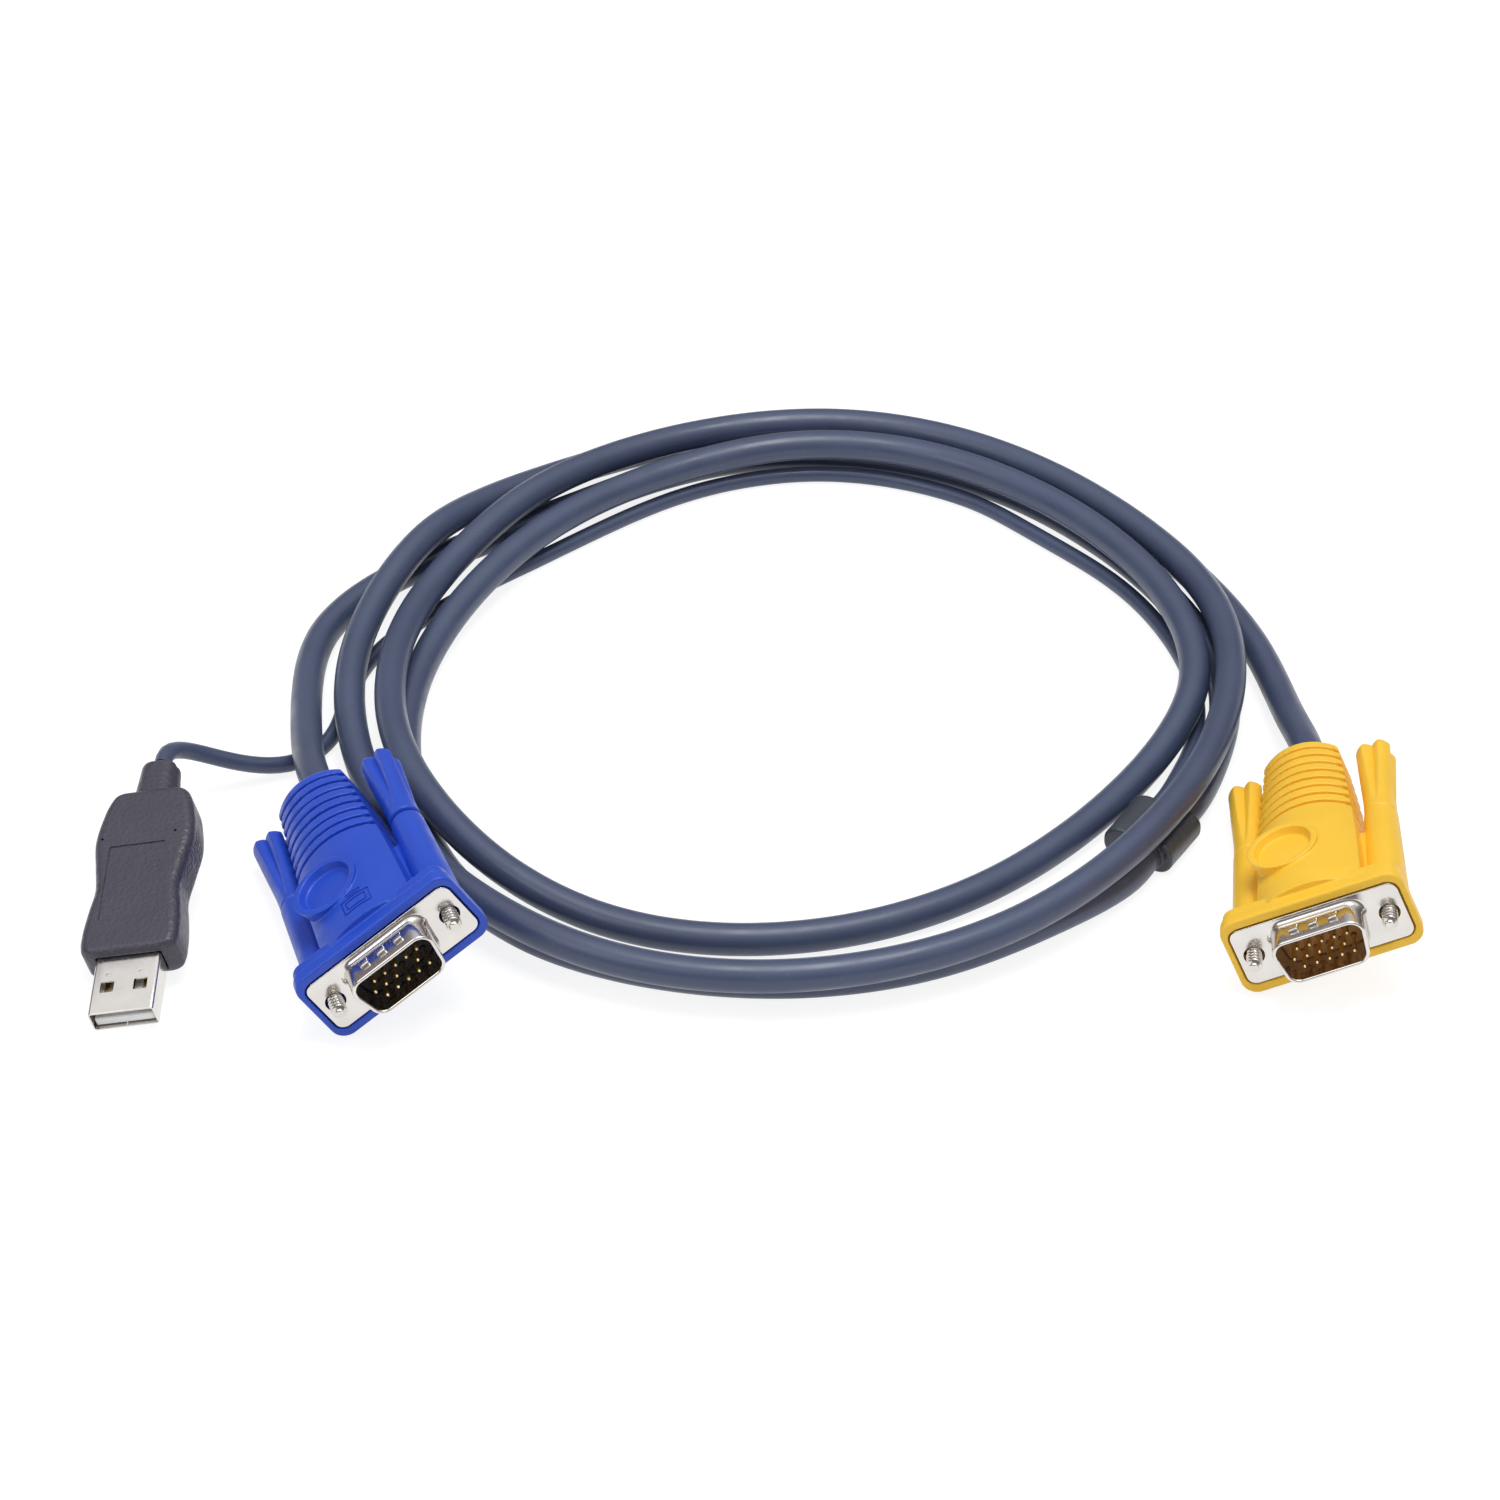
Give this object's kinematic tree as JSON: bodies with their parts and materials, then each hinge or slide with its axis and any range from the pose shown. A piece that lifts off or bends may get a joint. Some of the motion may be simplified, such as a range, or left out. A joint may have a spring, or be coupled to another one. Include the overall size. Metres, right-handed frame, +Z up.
{
  "type": "kvm cable",
  "caption": "Combined video and USB switch cable in a loose coil: yellow-hooded D plug on a round cord, junction block, blue-hooded D plug and a thin cord to a USB plug.",
  "frame": {"origin": "on the floor under the middle of the box round the three plugs and the junction block", "axes": "+X to the right as the picture shows the coil, +Y away from the camera towards the back of the coil, +Z up"},
  "size_m": [0.2371, 0.2018, 0.0298],
  "materials": {
    "yellow_plastic": "satin moulded vinyl",
    "blue_plastic": "satin moulded vinyl",
    "nickel": "bright nickel plate on pressed steel",
    "jackscrew_steel": "plated steel",
    "gold_contact": "gold flash on brass",
    "amber_insulator": "moulded insulator",
    "black_insulator": "moulded insulator",
    "charcoal_plastic": "finely textured moulded vinyl",
    "white_tongue": "moulded nylon",
    "dark_grey_plastic": "moulded vinyl",
    "slate_blue_cord": "satin vinyl jacket"
  },
  "bodies": {
    "cable": {"yellow_hood": "yellow_plastic", "yellow_shell": "nickel", "yellow_insulator": "amber_insulator", "yellow_pin_01": "gold_contact", "yellow_pin_02": "gold_contact", "yellow_pin_03": "gold_contact", "yellow_pin_04": "gold_contact", "yellow_pin_05": "gold_contact", "yellow_pin_06": "gold_contact", "yellow_pin_07": "gold_contact", "yellow_pin_08": "gold_contact", "yellow_pin_09": "gold_contact", "yellow_pin_10": "gold_contact", "yellow_pin_11": "gold_contact", "yellow_pin_12": "gold_contact", "yellow_pin_13": "gold_contact", "yellow_pin_14": "gold_contact", "yellow_pin_15": "gold_contact", "blue_hood": "blue_plastic", "blue_shell": "nickel", "blue_insulator": "black_insulator", "blue_pin_01": "gold_contact", "blue_pin_02": "gold_contact", "blue_pin_03": "gold_contact", "blue_pin_04": "gold_contact", "blue_pin_05": "gold_contact", "blue_pin_06": "gold_contact", "blue_pin_07": "gold_contact", "blue_pin_08": "gold_contact", "blue_pin_10": "gold_contact", "blue_pin_11": "gold_contact", "blue_pin_12": "gold_contact", "blue_pin_13": "gold_contact", "blue_pin_14": "gold_contact", "blue_pin_15": "gold_contact", "usb_housing": "charcoal_plastic", "usb_shell": "nickel", "usb_tongue": "white_tongue", "usb_contact_1": "gold_contact", "usb_contact_2": "gold_contact", "usb_contact_3": "gold_contact", "usb_contact_4": "gold_contact", "cable_junction": "dark_grey_plastic", "main_cord": "slate_blue_cord", "video_cord": "slate_blue_cord", "usb_cord": "slate_blue_cord"},
    "yellow_thumbscrew_left": {"yellow_knob_left": "yellow_plastic", "yellow_jackscrew_left": "jackscrew_steel"},
    "yellow_thumbscrew_right": {"yellow_knob_right": "yellow_plastic", "yellow_jackscrew_right": "jackscrew_steel"},
    "blue_thumbscrew_left": {"blue_knob_left": "blue_plastic", "blue_jackscrew_left": "jackscrew_steel"},
    "blue_thumbscrew_right": {"blue_knob_right": "blue_plastic", "blue_jackscrew_right": "jackscrew_steel"}
  },
  "joints": [
    {"name": "yellow_thumbscrew_left_turn", "type": "hinge", "parent": "cable", "child": "yellow_thumbscrew_left", "pos_m": [0.09021, 0.01167, 0.00659], "axis": [-0.0791, -0.9937, 0.0793], "continuous": true},
    {"name": "yellow_thumbscrew_right_turn", "type": "hinge", "parent": "cable", "child": "yellow_thumbscrew_right", "pos_m": [0.1129, 0.01069, 0.01702], "axis": [-0.0791, -0.9937, 0.0793], "continuous": true},
    {"name": "blue_thumbscrew_left_turn", "type": "hinge", "parent": "cable", "child": "blue_thumbscrew_left", "pos_m": [-0.08153, -0.00205, 0.00628], "axis": [0.3044, -0.9488, 0.0844], "continuous": true},
    {"name": "blue_thumbscrew_right_turn", "type": "hinge", "parent": "cable", "child": "blue_thumbscrew_right", "pos_m": [-0.0617, 0.00549, 0.01948], "axis": [0.3044, -0.9488, 0.0844], "continuous": true}
  ]
}
